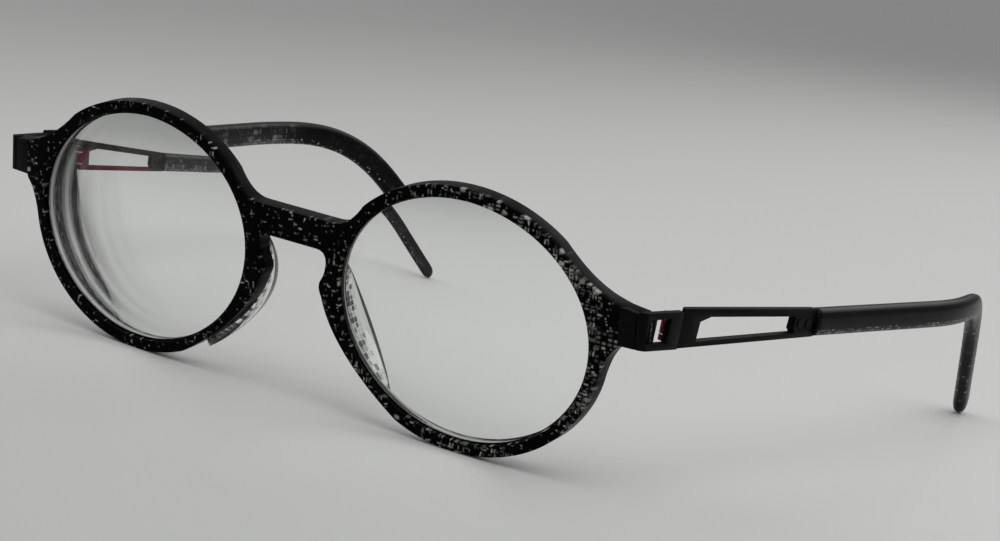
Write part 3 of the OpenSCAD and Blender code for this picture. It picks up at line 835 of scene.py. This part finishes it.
def reach_behind_flanges(bm, reach):
    """Draws each endpiece out behind its flange, as far as the side plate."""
    further = FLANGE_W - SIDE_T
    past = reach + further - rim_point(END_TOP_ANGLE, RIM_W).x - TOP_RUN
    for way in SIDES.values():
        ends = [
            face
            for face in bm.faces
            if face.normal.x * way > 1 - CLOSE
            and abs(face.calc_center_median().x * way - reach) < CLOSE
            and face.calc_center_median().y > FLANGE_T + FIT
        ]
        out = bmesh.ops.extrude_face_region(bm, geom=ends)["geom"]
        bmesh.ops.delete(bm, geom=ends, context="FACES_ONLY")
        for v in new_verts(out):
            v.co.x = way * (reach + further)
            v.co.z = min(v.co.z, ENDPIECE_TOP - END_FALL * past)


def curve_front(bm, reach):
    """Bends the flat front to its curve and its ends to the slant of the side plates."""
    for v in bm.verts:
        way = 1 if v.co.x > 0 else -1
        y = v.co.y + front_depth(v.co.x)
        if abs(v.co.x) > reach + 10 * CLOSE:
            v.co.x = way * end_x(y, SIDE_T)
        elif abs(v.co.x) > reach - CLOSE:
            v.co.x = way * end_x(y, FLANGE_W)
        v.co.y = y


def add_tongues(bm):
    """A block at each end that shows through the slot of the bracket."""
    tongue_len = SIDE_LEN - TONGUE_ROOT - KNUCKLE_R - TONGUE_GAP
    size = Matrix.Diagonal((TONGUE_W, tongue_len, TONGUE_H, 1.0))
    across = AXIS_IN - SIDE_T - FIT - TONGUE_W / 2
    middle = Vector((across, TONGUE_ROOT - SIDE_LEN + tongue_len / 2, 0))
    for side in SIDES:
        block = mirrored(side) @ temple() @ Matrix.Translation(middle)
        bmesh.ops.create_cube(bm, size=1.0, matrix=block @ size)


def make_front():
    reach = end_x(FRONT_T, FLANGE_W)
    bm = flat_front()
    reach_behind_flanges(bm, reach)
    curve_front(bm, reach)
    add_tongues(bm)
    bmesh.ops.recalc_face_normals(bm, faces=bm.faces)
    soften(bm, FRONT_ROUND_ANGLE, FRONT_ROUND, FRONT_ROUND_STEPS)
    bmesh.ops.transform(bm, matrix=resting(), verts=bm.verts)
    finishes = ["patterned_acetate"]
    piece("front", bm, finishes, "front", ["front_frame"], 40)


LENS_SET_BACK = 0.35
LENS_T = 1.4
LENS_FRONT_R = 400.0
LENS_BACK_R = 100.0
LENS_CENTRE = Vector((-6.5, 1.2))
LENS_GAP = 0.03
LENS_BEVEL = 0.25
LENS_STEPS = 160
# shares of the lens's radius
LENS_RINGS = (0.93, 0.82, 0.7, 0.57, 0.44, 0.31, 0.18, 0.07)


def lens_front_y(x, z):
    return LENS_SET_BACK + LENS_FRONT_R - math.sqrt(LENS_FRONT_R**2 - x * x - z * z)


def lens_back_y(x, z):
    off = Vector((x, z)) - LENS_CENTRE
    thinnest = LENS_SET_BACK + LENS_T
    return thinnest + LENS_BACK_R - math.sqrt(LENS_BACK_R**2 - off.length_squared)


def make_lens(side):
    """A minus lens whose ground edge has a finish of its own."""
    bm = bmesh.new()
    angles = [360 * i / LENS_STEPS for i in range(LENS_STEPS)]
    edge = [edge_point(a) - edge_outward(a) * LENS_GAP for a in angles]

    def ring(share, height):
        shrunk = [p * share for p in edge]
        return [Vector((p.x, height(p.x, p.y), p.y)) for p in shrunk]

    def bowl(loop, height):
        """Fills a face of the lens from its rim to its middle."""
        for share in LENS_RINGS:
            loop = grow(bm, loop, ring(share, height))
        gather(bm, loop, Vector((0, height(0, 0), 0)))

    inner = 1 - LENS_BEVEL / (OPENING_H / 2)
    front_rim = ring_of(bm, ring(inner, lens_front_y))
    bowl(front_rim, lens_front_y)
    wall_front = grow(bm, front_rim, ring(1.0, lambda x, z: lens_front_y(x, z) + LENS_BEVEL))
    wall_back = grow(bm, wall_front, ring(1.0, lambda x, z: lens_back_y(x, z) - LENS_BEVEL))
    bowl(grow(bm, wall_back, ring(inner, lens_back_y)), lens_back_y)
    walls = set(wall_front) | set(wall_back)
    for face in bm.faces:
        face.material_index = 0 if walls.isdisjoint(face.verts) else 1
    middle = Vector((LENS_X, front_depth(LENS_X), -OPENING_DROP))
    turn = Matrix.Rotation(math.asin(LENS_X / FRONT_CURVE_R), 4, "Z")
    place = resting() @ mirrored(side) @ Matrix.Translation(middle) @ turn
    bmesh.ops.transform(bm, matrix=place, verts=bm.verts)
    finishes = ["lens", "lens_edge"]
    piece(side + "_clear_lens", bm, finishes, "front", [side + "_lens"], 20)


PAD_DEPTH = 5.3
PAD_LEAST_DEPTH = 0.15
PAD_SWELL = 0.7
PAD_W = 2.4
# degrees from the temple side, as for the outline of the front
PAD_TOP = 170.0
PAD_FOOT = 237.0
PAD_INSET = 0.35
PAD_SQUARE_BASE = 0.6
PAD_SIDE_SWELL = 0.8
PAD_CREST_SWELL = 0.9
PAD_RINGS = 48
PAD_SIDES = 32


def power_of(number, power):
    """A power that keeps the number's sign."""
    return math.copysign(abs(number) ** power, number)


def pad_ring(t):
    """A section of the pad, whose share of the way from its top to its foot is t."""
    angle = PAD_TOP + t * (PAD_FOOT - PAD_TOP)
    middle = rim_point(angle, PAD_W / 2 + PAD_INSET)
    out = edge_outward(angle)
    height = PAD_LEAST_DEPTH + PAD_DEPTH * max(math.sin(math.pi * t), 0.0) ** PAD_SWELL
    places = []
    for k in range(PAD_SIDES):
        a = 2 * math.pi * k / PAD_SIDES
        across, behind = math.cos(a), max(math.sin(a), 0.0)
        if math.sin(a) < 0:
            across = power_of(across, PAD_SQUARE_BASE)
        place = middle - out * (power_of(across, PAD_SIDE_SWELL) * PAD_W / 2)
        back = front_depth(place.x) + FRONT_T + FIT
        places.append(Vector((place.x, back + behind**PAD_CREST_SWELL * height, place.y)))
    return places


def make_pad(side):
    """A clear fin on the back of the front, beside the opening, with a painted dark line of shade
    on its edge.
    """
    bm = bmesh.new()
    first = loop = ring_of(bm, pad_ring(0))
    # faces along the crest get the painted shade of the dark edge finish
    line = set()
    for i in range(1, PAD_RINGS + 1):
        loop = grow(bm, loop, pad_ring(i / PAD_RINGS))
        line.update(loop[PAD_SIDES // 8 : PAD_SIDES // 4])
    for face in bm.faces:
        face.material_index = 1 if line.issuperset(face.verts) else 0
    cover(bm, first)
    cover(bm, loop)
    bmesh.ops.transform(bm, matrix=resting() @ mirrored(side), verts=bm.verts)
    finishes = ["crystal_acetate", "crystal_edge_shade"]
    piece(side + "_fin", bm, finishes, "front", [side + "_nose_pad"], 50)


METAL_ROUND = 0.0002  # metres
METAL_ROUND_ANGLE = 40
FACES_INWARD = 0.5


def make_metal(side, node, name, body):
    """A bevelled copy of a metal CAD node, black outside and burgundy inside."""
    bm = cad_copy(node)
    soften(bm, METAL_ROUND_ANGLE, METAL_ROUND, 2)
    stand = resting() @ mirrored(side) @ temple()
    inward = (stand.to_3x3() @ Vector((-1, 0, 0))).normalized()
    back = stand.inverted()
    bm.normal_update()
    for face in bm.faces:
        place = back @ face.calc_center_median()
        barrel = math.hypot(place.x, place.y) < KNUCKLE_R + FIT
        inside = face.normal.dot(inward) > FACES_INWARD
        face.material_index = 1 if barrel or inside else 0
    piece(name, bm, ["dark_metal", "burgundy_metal"], body, [node])


ARM_LEN = 39.0
ARM_DROP = 1.2
ARM_FRONT_H = 6.4
ARM_STEP = 0.3
ARM_REAR_H = 4.8
ARM_T = 1.4
SLEEVE_STRAIGHT = 53.0
SLEEVE_BEND = 40.5
SLEEVE_TAIL = 22.5
SLEEVE_LEN = SLEEVE_STRAIGHT + SLEEVE_BEND + SLEEVE_TAIL
TAIL_TURN = 41.0
TAIL_INWARD = 24.0
INWARD_START = 37.0
INWARD_RUN = 32.5
SLEEVE_W = 3.0
SLEEVE_H = 4.8
TIP_H = 5.2
SLEEVE_RINGS = 96
SLEEVE_SIDES = 28
SLEEVE_STEP = SLEEVE_LEN / SLEEVE_RINGS
SLEEVE_SQUARE = 2.6
SLEEVE_MOUTH = 0.86
SLEEVE_MOUTH_LEN = 0.3
TIP_ROUND = SLEEVE_W * 1.3
TIP_LEAST = 0.004
TIP_GROWTH_END = 0.6


def ease(s, a, b):
    """Runs smoothly from 0 to 1 as s goes from a to b."""
    t = min(max((s - a) / (b - a), 0.0), 1.0)
    return t * t * (3 - 2 * t)


def turned(s):
    """How the sleeve runs at a distance along it: across, along and up."""
    droop = math.radians(TAIL_TURN * ease(s, SLEEVE_STRAIGHT, SLEEVE_STRAIGHT + SLEEVE_BEND))
    inward = math.radians(TAIL_INWARD * ease(s, INWARD_START, INWARD_START + INWARD_RUN))
    along = Vector(
        (-math.cos(droop) * math.sin(inward), math.cos(droop) * math.cos(inward), -math.sin(droop))
    )
    across = Vector((math.cos(inward), math.sin(inward), 0))
    return across, along, across.cross(along)


def sleeve_line():
    """The middle of the sleeve, from the arm's end to the tip, in the temple's millimetres."""
    top = ARM_FRONT_H / 2 + ARM_STEP - ARM_DROP
    place = Vector((AXIS_IN - ARM_T / 2, ARM_LEN, top - ARM_REAR_H / 2))
    line = [place]
    for i in range(SLEEVE_RINGS):
        place = place + turned((i + 0.5) * SLEEVE_STEP)[1] * SLEEVE_STEP
        line.append(place)
    return line


def sleeve_height(s):
    front = ARM_REAR_H + (SLEEVE_H - ARM_REAR_H) * ease(s, 0, SLEEVE_STRAIGHT / 2)
    tail_end = SLEEVE_STRAIGHT + SLEEVE_BEND + SLEEVE_TAIL * TIP_GROWTH_END
    return front + (TIP_H - SLEEVE_H) * ease(s, SLEEVE_STRAIGHT, tail_end)


def sleeve_section(s, size):
    """The sleeve's section at a distance along it, as places across and up."""
    into_tip = max(0.0, (s - (SLEEVE_LEN - TIP_ROUND)) / TIP_ROUND)
    cap = math.sqrt(max(1 - into_tip**2, TIP_LEAST))
    w = SLEEVE_W / 2 * cap * size
    h = sleeve_height(s) / 2 * cap * size
    angles = [2 * math.pi * n / SLEEVE_SIDES for n in range(SLEEVE_SIDES)]
    power = 2 / SLEEVE_SQUARE
    return [(power_of(math.cos(a), power) * w, power_of(math.sin(a), power) * h) for a in angles]


def make_sleeve(side):
    """The acetate end of a temple, which keeps each place as if the sleeve were straight."""
    bm = bmesh.new()
    straight = bm.verts.layers.float_vector.new("straight")
    line = sleeve_line()

    def ring(i, size, moved=0.0):
        s = i * SLEEVE_STEP
        across, along, up = turned(s)
        flat = sleeve_section(s, size)
        places = [line[i] + across * x + up * z + along * moved for x, z in flat]
        return places, [Vector((x, s, z)) for x, z in flat]

    def mark(loop, flats):
        for vert, flat in zip(loop, flats):
            vert[straight] = flat

    places, flats = ring(0, SLEEVE_MOUTH)
    first = loop = ring_of(bm, places)
    mark(loop, flats)
    for i in range(SLEEVE_RINGS + 1):
        places, flats = ring(i, 1.0, SLEEVE_MOUTH_LEN if i == 0 else 0.0)
        loop = grow(bm, loop, places)
        mark(loop, flats)
    gather(bm, loop, line[-1])
    cover(bm, first)
    bmesh.ops.transform(bm, matrix=resting() @ mirrored(side) @ temple(), verts=bm.verts)
    body, nodes = side + "_temple", [side + "_temple_sleeve"]
    piece(side + "_sleeve", bm, ["sleeve_acetate"], body, nodes, 50)


make_front()
for side in SIDES:
    make_lens(side)
    make_pad(side)
    make_metal(side, side + "_corner_bracket", side + "_bracket", "front")
    make_metal(side, side + "_temple_arm", side + "_arm", side + "_temple")
    make_sleeve(side)

node_slots = {part["node"]: part["material_slot"] for part in frame["record"]["subparts"]}
for node, made in frame["nodes"].items():
    made.data.materials.clear()
    made.data.materials.append(FINISHES[node_slots[node]])

# ---------------------------------------------------------------- floor, light and camera


FLOOR_PALE = (0.525, 0.53, 0.515)
FLOOR_PALER = (0.56, 0.565, 0.55)
# painted shade on the floor, near the camera and towards its far side
FLOOR_NEAR_SHADE = (0.42, 0.425, 0.415)
FLOOR_FAR_SHADE = (0.33, 0.335, 0.325)
FLOOR_HALF = 15.0


def floor_finish():
    """A plain pale table with painted shade, darker near the camera and towards its far side. In
    metres.
    """
    f = Finish("floor")
    x, y = f.split(f.place())[:2]
    away = (0 - x).within(0.05, 0.5)
    near = (0 - y).within(-0.05, 0.2)
    shade = f.cloud(f.place(), 3.0, 2.0)
    pale = f.mix(near, f.mix(shade, FLOOR_PALE, FLOOR_PALER), FLOOR_NEAR_SHADE)
    return f.done(f.surface(base_color=f.mix(away, pale, FLOOR_FAR_SHADE), roughness=0.6))


def make_floor():
    bm = bmesh.new()
    bmesh.ops.create_grid(bm, x_segments=4, y_segments=4, size=FLOOR_HALF)
    mesh = bpy.data.meshes.new("floor")
    bm.to_mesh(mesh)
    bm.free()
    mesh.materials.append(floor_finish())
    floor = bpy.data.objects.new("floor", mesh)
    bpy.context.scene.collection.objects.link(floor)


LAMP_AIM = Vector((0.0, 0.0, 0.02))
LAMPS = {
    "key": {"place": (0.35, -0.45, 0.75), "size": (0.7, 0.5), "power": 3.3},
    "fill": {"place": (-0.7, -0.3, 0.5), "size": (0.6, 0.6), "power": 1.15},
    "back": {"place": (0.2, 0.8, 0.6), "size": (0.8, 0.4), "power": 2.0},
}


def make_lamp(name, place, size, power):
    """A soft rectangular lamp that is turned to the glasses. Metres and watts."""
    lamp = bpy.data.lights.new(name, "AREA")
    lamp.shape = "RECTANGLE"
    lamp.size, lamp.size_y = size
    lamp.energy = power
    made = bpy.data.objects.new(name, lamp)
    made.location = place
    made.rotation_euler = (LAMP_AIM - Vector(place)).to_track_quat("-Z", "Y").to_euler()
    bpy.context.scene.collection.objects.link(made)


WORLD_STOPS = ((0.0, (0.12, 0.12, 0.12)), (0.9, (0.77, 0.78, 0.78)))


def make_world():
    """A plain surround, dark at the horizon and pale overhead."""
    world = bpy.data.worlds.new("studio")
    bpy.context.scene.world = world
    world.use_nodes = True
    tree = world.node_tree
    ramp = tree.nodes.new("ShaderNodeValToRGB")
    for element, (height, colour) in zip(ramp.color_ramp.elements, WORLD_STOPS):
        element.position = height
        element.color = (*colour, 1.0)
    apart = tree.nodes.new("ShaderNodeSeparateXYZ")
    where = tree.nodes.new("ShaderNodeTexCoord")
    tree.links.new(where.outputs["Generated"], apart.inputs["Vector"])
    tree.links.new(apart.outputs["Z"], ramp.inputs["Fac"])
    tree.links.new(ramp.outputs["Color"], tree.nodes["Background"].inputs["Color"])


# The camera of the photograph: where it stands about the upright front, and how it is turned
CAMERA_AROUND = math.radians(36.255)
CAMERA_ABOVE = math.radians(18.92)
CAMERA_DISTANCE = 413.245
CAMERA_YAW = math.radians(4.785)
CAMERA_PITCH = math.radians(0.026)
CAMERA_ROLL = math.radians(3.068)
CAMERA_LENS = 90.0
SENSOR_WIDTH = 36.0
CLIP_START = 0.01


def swung(a, b, angle):
    """Two directions at right angles, swung by an angle from the first towards the second."""
    return a * math.cos(angle) + b * math.sin(angle), b * math.cos(angle) - a * math.sin(angle)


def make_camera():
    """The camera, placed about the upright front and tipped with it."""
    level = math.cos(CAMERA_ABOVE)
    back = Vector(
        (
            math.sin(CAMERA_AROUND) * level,
            -math.cos(CAMERA_AROUND) * level,
            math.sin(CAMERA_ABOVE),
        )
    )
    ahead = -back
    right = ahead.cross(Vector((0, 0, 1))).normalized()
    up = right.cross(ahead)
    ahead, right = swung(ahead, right, CAMERA_YAW)
    ahead, up = swung(ahead, up, CAMERA_PITCH)
    right, up = swung(right, up, CAMERA_ROLL)
    turn = Matrix.Rotation(REST_TIP, 4, "X") @ Matrix((right, up, -ahead)).transposed().to_4x4()
    lens = bpy.data.cameras.new("camera")
    lens.sensor_width = SENSOR_WIDTH
    lens.lens = CAMERA_LENS
    lens.clip_start = CLIP_START
    camera = bpy.data.objects.new("camera", lens)
    camera.matrix_world = Matrix.Translation(resting() @ (back * CAMERA_DISTANCE)) @ turn
    bpy.context.scene.collection.objects.link(camera)
    bpy.context.scene.camera = camera


make_floor()
make_world()
for name, lamp in LAMPS.items():
    make_lamp(name, **lamp)
make_camera()
bpy.context.scene.view_settings.view_transform = "Standard"
